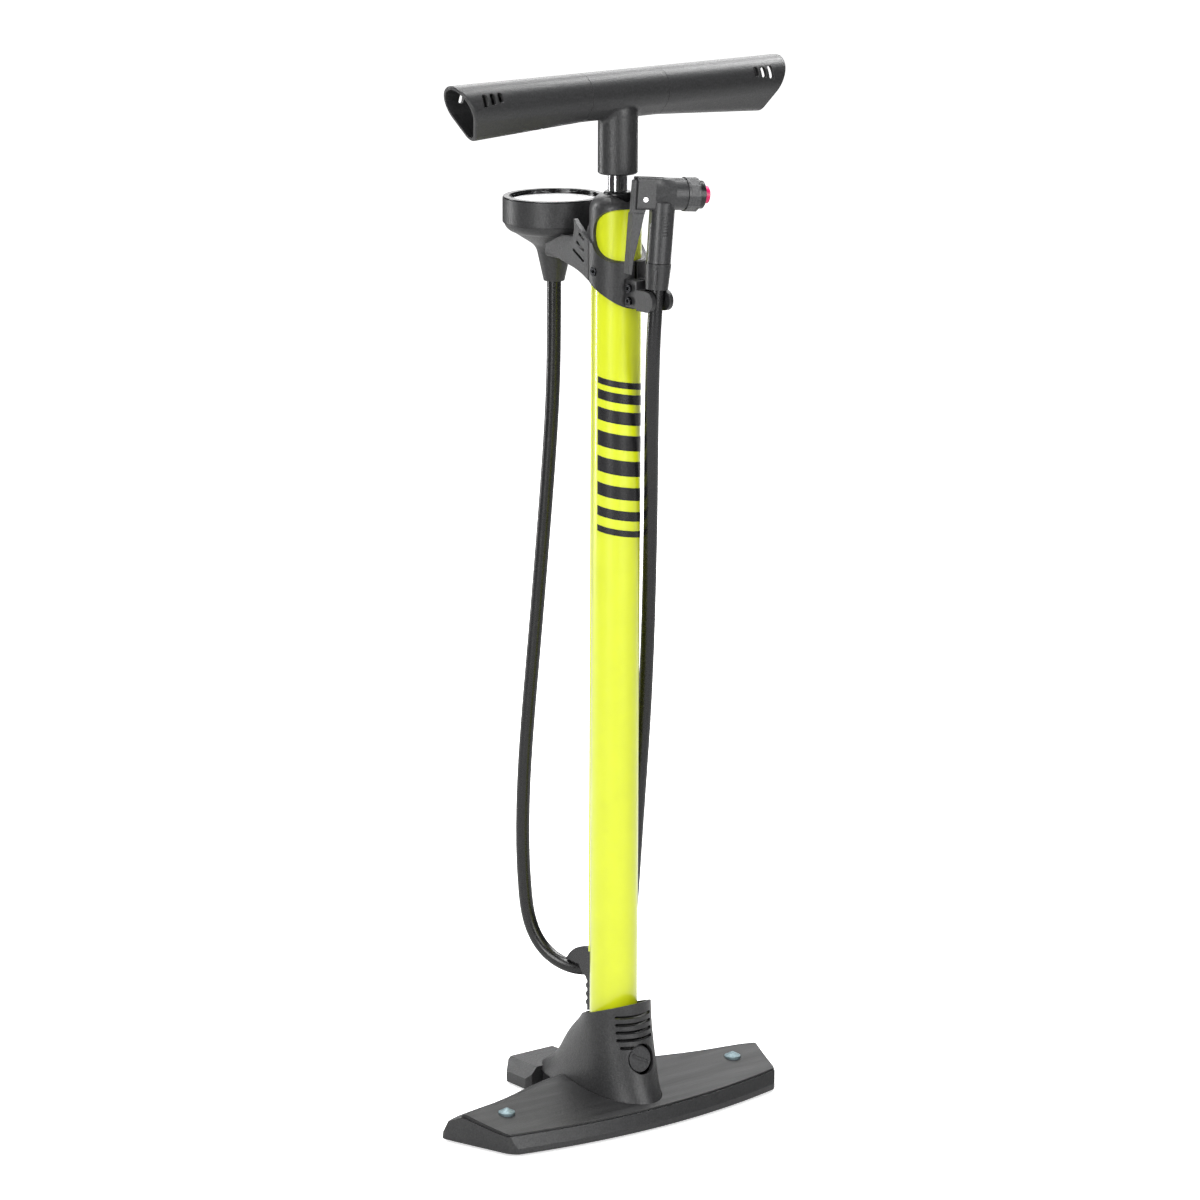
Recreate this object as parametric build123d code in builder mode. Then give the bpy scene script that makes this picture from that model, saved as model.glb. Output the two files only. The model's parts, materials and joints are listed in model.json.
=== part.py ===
from build123d import *
import os
from math import cos, pi, radians, sin, sqrt, tan

# Floor bike pump, millimetres. The origin is on the floor on the barrel's axis, +Z is up, +X runs
# along the handle and the base wings, -Y is the front (vents, access plug, parked head) and +Y is
# the back (gauge and rear foot).

os.makedirs("parts", exist_ok=True)

# ---------------------------------------------------------------- driving dimensions
running_gap = 0.06            # radial clearance of a sliding or turning fit
seat_gap = 0.05               # gap between parts that are pushed together

# barrel
barrel_r = 15.0
barrel_bore_r = 13.2
barrel_bottom = 50.0
barrel_top = 580.0
rib_half = 5.3                # air channel rib down the back of the barrel
rib_back = 20.3
rib_bottom = 101.0
rib_top = 545.0
channel_r = 2.0

# plunger
rod_r = 6.0
rod_top = 626.0
piston_bottom = 57.1
piston_top = 72.0
bumper_bottom = 526.0
bush_bottom = 532.0
bush_top = 577.0
stem_r = 12.2
stem_bottom = 598.0
handle_top = 661.0
handle_core_half = 29.0       # half length of the centre piece
grip_end_bottom = 109.6       # x of the slanted end at the underside
grip_end_top = 125.9          # x of the slanted end at the top
grip_low = 626.3              # underside of the grip at its end
grip_wall = 2.2

# base
skirt_bottom = 2.0
seam_z = 14.0
ridge_z = 21.0
deck_drop = 2.6               # thickness of the tread cover and its seat
cover_skin = 2.2
pad_top = 3.0
stud_x = 90.8
stud_y = -8.7

# cowl
cowl_wall = 2.8
cowl_centre_y = -3.0
rim_z = 68.1                  # height of the slanted rim over the barrel's axis
rim_slope = 0.35              # drop of the rim per unit towards the back
plug_z = 41.4
plug_tilt = 12.0              # the plug looks slightly upwards
plug_r = 8.4
vent_top = 68.6               # height of the highest vent
vent_pitch = 4.85
vent_height = 2.1

# cap, clamp band and clip
cap_r = 17.2
cap_bottom = 543.5
cap_shoulder = 575.5          # the dome starts here
cap_top = 585.6
window_long = 19.0            # half axes of the oval window seen from the side
window_high = 16.0
window_y = -16.9
window_z = 562.3
band_r = 18.6
band_gap = 1.2                # half of the slit between the clamp ears
ear_half = 5.2
clip_inner = 5.3
clip_half = 8.2
clip_low = 518.5
clip_high = 531.2
ear_screw_y = -22.5
ear_screw_z = (523.4, 531.3)
side_screw_z = 539.5

# gauge
gauge_y = 63.0
gauge_top = 576.7
gauge_tilt = -1.0             # the dial leans back a little
gauge_r = 32.0
case_bottom = 560.8
funnel_bottom = 523.5

# hose and head
hose_r = 4.4
head_x = 0.4
head_y = -38.0
head_z = 532.0
head_lean = 4.5               # the parked head leans towards +X
head_turn = -17.0             # the nozzle is turned towards the front
head_axis_w = 58.0            # height of the nozzle's axis over the collar's end
pivot_u = -12.8
pivot_w = 54.5
fork_half = 4.5
slot_half = 2.9
hub_r = 5.2


def export(builder, name):
    """Label one finished piece and write it as its own node."""
    builder.part.label = name
    export_step(builder.part, f"parts/{name}.step")


def tube_z(outer, inner, low, high, mode=Mode.ADD):
    """A ring about the barrel's axis, from low to high."""
    with BuildSketch(Plane.XY.offset(low)) as ring:
        Circle(outer)
        if inner:
            Circle(inner, mode=Mode.SUBTRACT)
    extrude(ring.sketch, amount=high - low, mode=mode)


# ---------------------------------------------------------------- base
stations = (-126, -84, -42, 0, 42, 84, 126)


def front_y(x):
    """The bowed front edge of the base at floor level."""
    return -49.0 + 13.0 * (x / 105.0) ** 2


def ridge_y(x):
    """The crest that runs along both wings."""
    return 27.0 - 0.31 * (sqrt(x * x + 400.0) - 20.0)


def wing_loft(outline, mode=Mode.ADD):
    """Loft one cross-section, given as a function of x, along the wings."""
    sections = []
    for x in stations:
        with BuildSketch(Plane.YZ.offset(x)) as section:
            Polygon(*outline(front_y(x), ridge_y(x)), align=None)
        sections.append(section.sketch)
    loft(sections, mode=mode)


def wing_plan(inset):
    """The plan that trims the wing tips: straight slanted ends with rounded corners."""
    with BuildSketch(Plane.XY) as plan:
        with BuildLine():
            Polyline(
                (0, -62), (105.6, -36.8), (122.2, 15.5), (108, 60), (-108, 60),
                (-122.2, 15.5), (-105.6, -36.8), close=True,
            )
        make_face()
        fillet(plan.vertices().filter_by(lambda v: abs(v.Y + 36.8) < 0.1), 15)
        fillet(plan.vertices().filter_by(lambda v: abs(v.Y - 15.5) < 0.1), 7)
        if inset:
            offset(amount=-inset, mode=Mode.REPLACE)
    return plan.sketch


def chassis_section(front, ridge):
    return [
        (front, skirt_bottom), (front + 0.2, skirt_bottom + 3.6), (front + 3.0, seam_z - 0.8),
        (front + 5.0, seam_z - 1.4),
        (ridge + 0.5, ridge_z - deck_drop), (ridge + 4.5, ridge_z - deck_drop - 0.2), (ridge + 14.5, 14.5),
        (ridge + 19.4, 6.5), (ridge + 20.0, skirt_bottom),
    ]


def cavity_section(front, ridge):
    return [
        (front + 3.4, -2.0), (front + 5.6, seam_z - 4.2), (ridge, ridge_z - deck_drop - 3.0),
        (ridge + 11.5, 11.8), (ridge + 16.2, 5.6), (ridge + 16.6, -2.0),
    ]


def cover_section(front, ridge):
    return [
        (front + 3.2, seam_z - 0.5), (front + 3.8, seam_z + 0.5), (ridge - 1.0, ridge_z),
        (ridge + 2.6, ridge_z - 0.5), (ridge + 4.2, ridge_z - cover_skin),
        (ridge + 0.5, ridge_z - cover_skin), (front + 5.2, seam_z - 1.1),
    ]


foot_half = 24.0
foot_front = 57.0
foot_back = 85.0
arm_half = 13.0
pads = (
    # x, y, length, width, top of the boss over the pad
    (-96, -12, 14, 30, 12.0),
    (96, -12, 14, 30, 12.0),
    (-34, -38, 30, 8, 9.5),
    (34, -38, 30, 8, 9.5),
    (0, 72, 34, 12, 13.0),
)

with BuildPart() as hull:
    wing_loft(chassis_section)
    extrude(wing_plan(0), amount=40, mode=Mode.INTERSECT)

with BuildPart() as rear_foot:
    # A short cross bar on an arm; its top corners are bevelled.
    with BuildSketch(Plane.XZ.offset(-foot_back)):
        Polygon(
            (-foot_half, skirt_bottom), (foot_half, skirt_bottom), (foot_half, 9), (17, 16.5), (-17, 16.5),
            (-foot_half, 9), align=None,
        )
    extrude(amount=foot_back - foot_front)
    back_corners = rear_foot.edges().filter_by(Axis.Z).group_by(Axis.Y)[-1]
    front_corners = rear_foot.edges().filter_by(Axis.Z).group_by(Axis.Y)[0]
    chamfer(back_corners, 5)
    chamfer(front_corners, 3)
    with BuildSketch(Plane.XZ.offset(-foot_front - 4)):
        Polygon((-arm_half, skirt_bottom), (arm_half, skirt_bottom), (11, 14.5), (-11, 14.5), align=None)
    extrude(amount=30)

with BuildPart() as hull_cavity:
    wing_loft(cavity_section)
    extrude(wing_plan(3.2), amount=60, both=True, mode=Mode.INTERSECT)

with BuildPart() as base_chassis:
    add(hull.part)
    add(rear_foot.part)
    add(hull_cavity.part, mode=Mode.SUBTRACT)
    # Pillar that carries the valve block, with four screw holes.
    tube_z(20.5, 0, skirt_bottom + 1, seam_z)
    tube_z(18.4, 0, seam_z, 30, mode=Mode.SUBTRACT)
    with PolarLocations(13.5, 4, start_angle=45):
        with Locations((0, 0, 8.5)):
            Cylinder(1.6, 13, mode=Mode.SUBTRACT)
            Cylinder(3.4, 5, align=(Align.CENTER, Align.CENTER, Align.MAX), mode=Mode.SUBTRACT)
    # Hollow underside of the rear foot, and a boss over each rubber pad.
    with Locations((0, (foot_front + foot_back) / 2, 0)):
        Box(36, 20, 12, align=(Align.CENTER, Align.CENTER, Align.MIN), mode=Mode.SUBTRACT)
    for pad_x, pad_y, pad_length, pad_width, boss_top in pads:
        with BuildSketch(Plane.XY.offset(pad_top)) as boss:
            with Locations((pad_x, pad_y)):
                RectangleRounded(pad_length, pad_width, 3)
        extrude(boss.sketch, amount=boss_top - pad_top)
export(base_chassis, "base_chassis")


# ---------------------------------------------------------------- cowl
cowl_sections = (
    # height, half width, front reach, back reach
    (8.0, 23.0, 39.5, 78.0),
    (17.0, 22.8, 35.8, 70.0),
    (26.0, 22.6, 32.1, 56.8),
    (38.0, 22.4, 28.6, 46.8),
    (50.0, 22.1, 25.6, 36.6),
    (60.0, 21.8, 23.6, 25.6),
    (86.0, 21.3, 21.0, 20.6),
)


def cowl_loft(inset, mode=Mode.ADD):
    """A flared skirt: each level is a half ellipse in front and a longer one behind."""
    sections = []
    for z, half, front, back in cowl_sections:
        with BuildSketch(Plane.XY.offset(z)) as section:
            with BuildLine():
                EllipticalCenterArc((0, cowl_centre_y), half - inset, front - inset, 180, arc_size=180)
                EllipticalCenterArc((0, cowl_centre_y), half - inset, back - inset, 0, arc_size=180)
            make_face()
        sections.append(section.sketch)
    loft(sections, mode=mode)


rim_plane = Plane(origin=(0, 0, rim_z), x_dir=(1, 0, 0), z_dir=(0, rim_slope, 1))
plug_plane = Plane(
    origin=(0, -30.3, plug_z),
    x_dir=(1, 0, 0),
    z_dir=(0, -cos(radians(plug_tilt)), sin(radians(plug_tilt))),
)

with BuildPart() as cowl_outer:
    cowl_loft(-0.35)

with BuildPart() as cowl:
    cowl_loft(0)
    cowl_loft(cowl_wall, mode=Mode.SUBTRACT)
    split(bisect_by=rim_plane, keep=Keep.BOTTOM)
    add(hull.part, mode=Mode.SUBTRACT)
    add(rear_foot.part, mode=Mode.SUBTRACT)
    with Locations((0, 0, 0)):
        Box(200, 200, 14, align=(Align.CENTER, Align.CENTER, Align.MIN), mode=Mode.SUBTRACT)
    # Four long vents and a short one beside the plug.
    with BuildSketch(Plane.XZ.offset(13)) as vents:
        with Locations(*[(-1.5, vent_top - row * vent_pitch) for row in range(4)]):
            SlotOverall(26.0, vent_height)
        with Locations((-8.8, vent_top - 4 * vent_pitch)):
            SlotOverall(8.8, vent_height)
    extrude(vents.sketch, amount=37, mode=Mode.SUBTRACT)
    # Notch at the back of the rim for the riser pipe.
    with Locations((0, 17.6, 50)):
        Box(5.0, 4.6, 30, align=(Align.CENTER, Align.CENTER, Align.MIN), mode=Mode.SUBTRACT)
    # Round opening for the access plug.
    with BuildSketch(plug_plane.offset(-12)):
        Circle(9.8)
    extrude(amount=30, mode=Mode.SUBTRACT)
export(cowl, "cowl")

with BuildPart() as tread_cover:
    wing_loft(cover_section)
    extrude(wing_plan(0.4), amount=40, mode=Mode.INTERSECT)
    # Opening for the cowl and stepped holes for the two studs.
    add(cowl_outer.part, mode=Mode.SUBTRACT)
    with Locations((-stud_x, stud_y, 10), (stud_x, stud_y, 10)):
        Cylinder(2.2, 20, mode=Mode.SUBTRACT)
    with Locations((-stud_x, stud_y, 17.9), (stud_x, stud_y, 17.9)):
        Cylinder(5.3, 6, align=(Align.CENTER, Align.CENTER, Align.MIN), mode=Mode.SUBTRACT)
export(tread_cover, "tread_cover")

with BuildPart() as tread_studs:
    # Low conical grip studs; the shanks reach into the cover.
    with Locations((-stud_x, stud_y, 18.0), (stud_x, stud_y, 18.0)):
        Cylinder(5.2, 1.9, align=(Align.CENTER, Align.CENTER, Align.MIN))
        Cylinder(2.1, 1.3, align=(Align.CENTER, Align.CENTER, Align.MAX))
    with Locations((-stud_x, stud_y, 19.9), (stud_x, stud_y, 19.9)):
        Cone(5.2, 0.9, 2.4, align=(Align.CENTER, Align.CENTER, Align.MIN))
export(tread_studs, "tread_studs")

with BuildPart() as foot_pads:
    # Rubber pads under the bosses, and a round one under the pillar.
    for pad_x, pad_y, pad_length, pad_width, boss_top in pads:
        with BuildSketch(Plane.XY) as pad:
            with Locations((pad_x, pad_y)):
                RectangleRounded(pad_length - 1, pad_width - 1, 2.5)
        extrude(pad.sketch, amount=pad_top)
    tube_z(9.0, 0, 0, pad_top)
export(foot_pads, "foot_pads")


# ---------------------------------------------------------------- valve block and access plug
valve_low = 14.0
valve_shoulder = 48.0
valve_high = 74.0
valve_r = 18.2
collar_r = 16.6
chamber_r = 8.0
chamber_low = 19.0
port_r = 9.3
plug_stem_r = 6.0
screw_circle = 13.5
channel_y = 17.6              # axis of the air channel up the back
riser_r = 1.9
riser_low = 36.0
riser_high = 68.0

port_plane = plug_plane.offset(-5.8)          # face of the port that the plug screws into

with BuildPart() as valve_block:
    tube_z(valve_r, 0, valve_low, valve_shoulder)
    tube_z(collar_r, 0, valve_shoulder, valve_high)
    # Front port for the access plug, and the boss for the riser pipe at the back.
    with BuildSketch(port_plane):
        Circle(port_r)
    extrude(amount=-14)
    with Locations((0, 10, 32)):
        Box(9, 12.5, 14, align=(Align.CENTER, Align.MIN, Align.MIN))
    # Socket for the barrel with an O-ring groove, air chamber below it, passage to the riser.
    tube_z(barrel_r + seat_gap, 0, barrel_bottom, valve_high + 5, mode=Mode.SUBTRACT)
    tube_z(barrel_r + 0.6, 0, 53, 54.6, mode=Mode.SUBTRACT)
    tube_z(chamber_r + seat_gap, 0, chamber_low, barrel_bottom + 1, mode=Mode.SUBTRACT)
    with BuildSketch(port_plane):
        Circle(plug_stem_r + seat_gap)
    extrude(amount=-9.4, mode=Mode.SUBTRACT)
    with Locations((0, channel_y, riser_low)):
        Cylinder(
            riser_r + seat_gap, riser_high, align=(Align.CENTER, Align.CENTER, Align.MIN),
            mode=Mode.SUBTRACT,
        )
    with Locations(Location((0, 12, riser_low + 1.2), (90, 0, 0))):
        Cylinder(1.2, 12, mode=Mode.SUBTRACT)
    with PolarLocations(screw_circle, 4, start_angle=45):
        with Locations((0, 0, 19)):
            Cylinder(1.35, 12, mode=Mode.SUBTRACT)
    split(bisect_by=rim_plane.offset(-3.3), keep=Keep.BOTTOM)
export(valve_block, "valve_block")

with BuildPart() as valve_block_screws:
    with PolarLocations(screw_circle, 4, start_angle=45):
        with Locations((0, 0, 5.5)):
            Cylinder(1.3, 19, align=(Align.CENTER, Align.CENTER, Align.MIN))
            Cylinder(2.9, 3.0, align=(Align.CENTER, Align.CENTER, Align.MIN))
export(valve_block_screws, "valve_block_screws")

with BuildPart() as access_plug:
    # Slotted disc on a short threaded stem.
    with BuildSketch(plug_plane.offset(-2.8)):
        Circle(plug_r)
    extrude(amount=-2.6)
    chamfer(access_plug.edges().filter_by(GeomType.CIRCLE), 0.4)
    with BuildSketch(plug_plane.offset(-5.4)):
        Circle(plug_stem_r - seat_gap)
    extrude(amount=-7.5)
    with BuildSketch(plug_plane.offset(-2.0)):
        with Locations(Location((0, 0, 0), (0, 0, -28))):
            Rectangle(13.6, 2.4)
    extrude(amount=-2.0, mode=Mode.SUBTRACT)
export(access_plug, "access_plug")

with BuildPart() as plug_o_ring:
    with BuildSketch(port_plane.offset(0.04)):
        Circle(8.0)
        Circle(plug_stem_r, mode=Mode.SUBTRACT)
    extrude(amount=0.32)
export(plug_o_ring, "plug_o_ring")

# The check valve: a seat under the barrel, a disc that drops off it and the spring below.
disc_top = 44.0
disc_r = 5.2
disc_thick = 1.8

with BuildPart() as check_valve_seat:
    tube_z(chamber_r, 3.0, disc_top, barrel_bottom - 0.2)
export(check_valve_seat, "check_valve_seat")

with BuildPart() as check_valve_disc:
    tube_z(disc_r, 0, disc_top - disc_thick, disc_top - 0.05)
    tube_z(2.2, 0, disc_top - 4.0, disc_top - disc_thick)
export(check_valve_disc, "check_valve_disc")

with BuildPart() as check_valve_spring:
    with BuildLine() as coil:
        Helix(pitch=3.0, height=21.0, radius=3.2, center=(0, 0, chamber_low + 0.6))
    with BuildSketch(Plane(origin=coil.line @ 0, z_dir=coil.line % 0)) as wire:
        Circle(0.4)
    sweep(wire.sketch, path=coil.line, is_frenet=True)
export(check_valve_spring, "check_valve_spring")

with BuildPart() as barrel_o_ring:
    tube_z(barrel_r + 0.55, barrel_r, 53.05, 54.55)
export(barrel_o_ring, "barrel_o_ring")

with BuildPart() as riser_pipe:
    # Carries the air from the valve block up into the hose guide.
    with Locations((0, channel_y, riser_low + 2.6)):
        Cylinder(riser_r, riser_high - riser_low - 2.6, align=(Align.CENTER, Align.CENTER, Align.MIN))
        Cylinder(
            1.2, riser_high - riser_low, align=(Align.CENTER, Align.CENTER, Align.MIN),
            mode=Mode.SUBTRACT,
        )
export(riser_pipe, "riser_pipe")


# ---------------------------------------------------------------- barrel and hose guide
with BuildPart() as barrel:
    tube_z(barrel_r, 0, barrel_bottom, barrel_top)
    # Rib with the air channel, flat-backed with rounded corners.
    with BuildSketch(Plane.XY.offset(rib_bottom)) as rib:
        with BuildLine():
            Polyline((-rib_half, 13), (-rib_half, rib_back - 1.8))
            RadiusArc((-rib_half, rib_back - 1.8), (-rib_half + 1.8, rib_back), 1.8)
            Line((-rib_half + 1.8, rib_back), (rib_half - 1.8, rib_back))
            RadiusArc((rib_half - 1.8, rib_back), (rib_half, rib_back - 1.8), 1.8)
            Polyline((rib_half, rib_back - 1.8), (rib_half, 13), (-rib_half, 13))
        make_face()
    extrude(rib.sketch, amount=rib_top - rib_bottom)
    tube_z(barrel_bore_r, 0, barrel_bottom - 1, barrel_top + 1, mode=Mode.SUBTRACT)
    with Locations((0, channel_y, rib_bottom)):
        Cylinder(
            channel_r, rib_top - rib_bottom, align=(Align.CENTER, Align.CENTER, Align.MIN),
            mode=Mode.SUBTRACT,
        )
    with Locations(Location((0, 0, side_screw_z), (0, 90, 0))):
        Cylinder(1.6, 40, mode=Mode.SUBTRACT)
export(barrel, "barrel")

guide_top = 100.8
fin_half = 1.6
bump_pitch = 5.5

with BuildPart() as hose_guide:
    # Saddle that carries the channel on down behind the barrel.
    with BuildSketch(Plane.XY.offset(56)) as saddle:
        with Locations((0, rib_back)):
            Rectangle(2 * rib_half, 8, align=(Align.CENTER, Align.MAX))
    extrude(saddle.sketch, amount=guide_top - 56)
    # Ladder of round bumps on its back.
    for row in range(4):
        with Locations(Location((0, rib_back - 0.6, 67 + row * bump_pitch), (0, 90, 0))):
            Cylinder(2.0, 2 * rib_half)
    # Fin that keeps the hose below it.
    with BuildSketch(Plane.YZ) as fin:
        with BuildLine():
            ThreePointArc((rib_back, guide_top), (36.0, 98.6), (47.0, 88.5))
            Polyline((47.0, 88.5), (34.0, 88.5), (30.5, 84.0), (rib_back - 1, 77.0))
            Polyline((rib_back - 1, 77.0), (rib_back - 1, guide_top), (rib_back, guide_top))
        make_face()
    extrude(fin.sketch, amount=fin_half, both=True)
    tube_z(barrel_r + seat_gap, 0, 50, 110, mode=Mode.SUBTRACT)
    with Locations((0, channel_y, 50)):
        Cylinder(
            riser_r + seat_gap, 18.5, align=(Align.CENTER, Align.CENTER, Align.MIN),
            mode=Mode.SUBTRACT,
        )
        Cylinder(1.8, 60, align=(Align.CENTER, Align.CENTER, Align.MIN), mode=Mode.SUBTRACT)
    split(bisect_by=rim_plane.offset(0.5), keep=Keep.TOP)
export(hose_guide, "hose_guide")


# ---------------------------------------------------------------- barrel top
wiper_low = 580.6
wiper_high = 582.8
gland_top = 587.6
neck_r = 8.6
scoop_z = 590.6
scoop_r = 9.3

with BuildPart() as top_bumper:
    tube_z(barrel_bore_r - 0.1, rod_r + 0.4, bumper_bottom, bush_bottom - 0.02)
export(top_bumper, "top_bumper")

with BuildPart() as rod_bush:
    tube_z(barrel_bore_r - seat_gap, rod_r + running_gap, bush_bottom, bush_top)
    with Locations(Location((0, 0, side_screw_z), (0, 90, 0))):
        Cylinder(1.3, 40, mode=Mode.SUBTRACT)
export(rod_bush, "rod_bush")

with BuildPart() as rod_gland:
    # Flange inside the barrel and a domed neck that stands out of the cap.
    tube_z(12.5, 0, bush_top + 0.05, barrel_top)
    tube_z(neck_r, 0, barrel_top, gland_top)
    fillet(rod_gland.edges().filter_by(GeomType.CIRCLE).group_by(Axis.Z)[-1], 2.2)
    tube_z(rod_r + running_gap, 0, bush_top, gland_top + 1, mode=Mode.SUBTRACT)
    tube_z(rod_r + 1.3, 0, wiper_low, wiper_high, mode=Mode.SUBTRACT)
export(rod_gland, "rod_gland")

with BuildPart() as rod_wiper:
    tube_z(rod_r + 1.25, rod_r + 0.04, wiper_low + 0.05, wiper_high - 0.05)
export(rod_wiper, "rod_wiper")

with BuildPart() as barrel_cap:
    with BuildSketch(Plane.XZ) as dome:
        with BuildLine():
            Polyline((0, cap_top), (0, cap_bottom), (cap_r, cap_bottom), (cap_r, cap_shoulder))
            ThreePointArc((cap_r, cap_shoulder), (14.6, 582.4), (9.4, cap_top))
            Line((9.4, cap_top), (0, cap_top))
        make_face()
    revolve(dome.sketch, axis=Axis.Z)
    tube_z(barrel_r + seat_gap, 0, cap_bottom - 1, barrel_top + 0.1, mode=Mode.SUBTRACT)
    tube_z(neck_r + 0.1, 0, barrel_top, cap_top + 1, mode=Mode.SUBTRACT)
    # Trough in the front of the dome, slot for the top of the rib, and the oval window in front.
    with Locations(Location((0, -3, scoop_z), (90, 0, 0))):
        Cylinder(scoop_r, 30, align=(Align.CENTER, Align.CENTER, Align.MIN), mode=Mode.SUBTRACT)
    with Locations((0, 17, cap_bottom)):
        Box(2 * rib_half + 0.4, 8, 2 * (rib_top + 0.2 - cap_bottom), mode=Mode.SUBTRACT)
    with BuildSketch(Plane.YZ) as window:
        with Locations((window_y, window_z)):
            Ellipse(window_long, window_high)
    extrude(window.sketch, amount=30, both=True, mode=Mode.SUBTRACT)
export(barrel_cap, "barrel_cap")

cheek_in = 14.6
cheek_out = 17.9
arm_outer = 14.4

with BuildPart() as clamp_band:
    tube_z(band_r, 0, 510, 575)
    # Side cheeks that run back along the gauge's arm.
    for side in (-1, 1):
        with Locations((side * (cheek_in + cheek_out) / 2, 6, 510)):
            Box(
                cheek_out - cheek_in, 40, 65, align=(Align.CENTER, Align.MIN, Align.MIN),
            )
    # Outline seen from the side: a rising lower edge, a fish-tail at the back and a window in front.
    with BuildSketch(Plane.YZ) as outline:
        with BuildLine():
            Spline((-20, 516.0), (-15.2, 520.1), (-8.9, 524.8), (2, 531), (15.4, 537.6), (26.6, 540.6),
                   (42.7, 545.2))
            ThreePointArc((42.7, 545.2), (31.5, 549.2), (22.4, 555.6))
            ThreePointArc((22.4, 555.6), (20.2, 562.2), (20.5, 569.1))
            Spline((20.5, 569.1), (16, 565), (10, 560.5), (4.6, 557.4), (-2.2, 556.6))
            Polyline((-2.2, 556.6), (-20, 556.6), (-20, 516.0))
        make_face()
    extrude(outline.sketch, amount=30, both=True, mode=Mode.INTERSECT)
    # Clamp ears in front.
    with Locations((0, -16.6, 519.5)):
        Box(
            2 * ear_half, 11.9, 16.5, align=(Align.CENTER, Align.MAX, Align.MIN),
        )
    fillet(clamp_band.edges().filter_by(Axis.X).group_by(Axis.Y)[0], 1.5)
    tube_z(barrel_r + seat_gap, 0, 500, cap_bottom - 0.2, mode=Mode.SUBTRACT)
    tube_z(cap_r + seat_gap, 0, cap_bottom - 0.2, 590, mode=Mode.SUBTRACT)
    with Locations((0, -10, 540)):
        Box(2 * band_gap, 60, 100, align=(Align.CENTER, Align.MAX, Align.CENTER), mode=Mode.SUBTRACT)
    with BuildSketch(Plane.YZ) as window:
        with Locations((window_y, window_z)):
            Ellipse(window_long + 0.3, window_high + 0.3)
    extrude(window.sketch, amount=30, both=True, mode=Mode.SUBTRACT)
    with Locations((0, 14, 500)):
        Box(
            2 * rib_half + 0.4, 10, rib_top + 0.2 - 500, align=(Align.CENTER, Align.MIN, Align.MIN),
            mode=Mode.SUBTRACT,
        )
    # Three slanted slots in each cheek.
    for slot_back, slot_front in (
        ((14.5, 560.3), (10.8, 557.8)),
        ((16.9, 555.1), (10.8, 551.0)),
        ((20.4, 549.9), (10.8, 544.4)),
    ):
        with BuildSketch(Plane.YZ) as slot:
            SlotCenterPoint(
                ((slot_back[0] + slot_front[0]) / 2, (slot_back[1] + slot_front[1]) / 2), slot_back, 1.7,
            )
        extrude(slot.sketch, amount=30, both=True, mode=Mode.SUBTRACT)
    # Screw holes: two at the sides, two through the ears.
    with Locations(Location((0, 0, side_screw_z), (0, 90, 0))):
        Cylinder(1.6, 60, mode=Mode.SUBTRACT)
    for side in (-1, 1):
        with Locations(Location((side * 17.2, 0, side_screw_z), (0, side * 90, 0))):
            Cylinder(2.9, 4, align=(Align.CENTER, Align.CENTER, Align.MIN), mode=Mode.SUBTRACT)
    for z in ear_screw_z:
        with Locations(Location((0, ear_screw_y, z), (0, 90, 0))):
            Cylinder(1.6, 40, mode=Mode.SUBTRACT)
export(clamp_band, "clamp_band")

with BuildPart() as band_screws:
    for side in (-1, 1):
        with Locations(Location((side * 17.3, 0, side_screw_z), (0, side * 90, 0))):
            Cylinder(2.7, 1.6, align=(Align.CENTER, Align.CENTER, Align.MIN))
            Cylinder(1.1, 8, align=(Align.CENTER, Align.CENTER, Align.CENTER), mode=Mode.SUBTRACT)
        with Locations(Location((side * 9.0, 0, side_screw_z), (0, side * 90, 0))):
            Cylinder(1.25, 8.8, align=(Align.CENTER, Align.CENTER, Align.MIN))
export(band_screws, "band_screws")

with BuildPart() as ear_screws:
    for z in ear_screw_z:
        with Locations(Location((-clip_half - 0.05, ear_screw_y, z), (0, 90, 0))):
            Cylinder(1.5, 19.5, align=(Align.CENTER, Align.CENTER, Align.MIN))
            Cylinder(2.6, 1.6, align=(Align.CENTER, Align.CENTER, Align.MAX))
        with Locations(Location((-clip_half - 1.7, ear_screw_y, z), (0, 90, 0))):
            Cylinder(1.1, 1.0, align=(Align.CENTER, Align.CENTER, Align.MIN), mode=Mode.SUBTRACT)
export(ear_screws, "ear_screws")

with BuildPart() as ear_nuts:
    for z in ear_screw_z:
        nut_plane = Plane(origin=(clip_half + 0.05, ear_screw_y, z), x_dir=(0, 1, 0), z_dir=(1, 0, 0))
        with BuildSketch(nut_plane) as nut:
            RegularPolygon(2.75, 6, major_radius=False)
            Circle(1.55, mode=Mode.SUBTRACT)
        extrude(nut.sketch, amount=2.4)
export(ear_nuts, "ear_nuts")

with BuildPart() as hose_clip:
    # Two plates outside the ears with D-shaped prongs in front, joined by a web behind the hose.
    with BuildSketch(Plane.YZ) as plate:
        with Locations((-18.3, 519.5)):
            Rectangle(10.9, 16.8, align=(Align.MAX, Align.MIN))
        with BuildLine():
            Polyline((-38.25, clip_low), (-29.2, clip_low), (-29.2, clip_high), (-38.25, clip_high))
            ThreePointArc((-38.25, clip_high), (-44.7, (clip_low + clip_high) / 2), (-38.25, clip_low))
        make_face()
    extrude(plate.sketch, amount=clip_half, both=True)
    with Locations((0, -18, 500)):
        Box(2 * clip_inner, 10.9, 60, align=(Align.CENTER, Align.MAX, Align.MIN), mode=Mode.SUBTRACT)
    with Locations((0, -31.5, 500)):
        Box(2 * clip_inner, 20, 60, align=(Align.CENTER, Align.MAX, Align.MIN), mode=Mode.SUBTRACT)
    for z in ear_screw_z:
        with Locations(Location((0, ear_screw_y, z), (0, 90, 0))):
            Cylinder(1.6, 40, mode=Mode.SUBTRACT)
export(hose_clip, "hose_clip")


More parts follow.
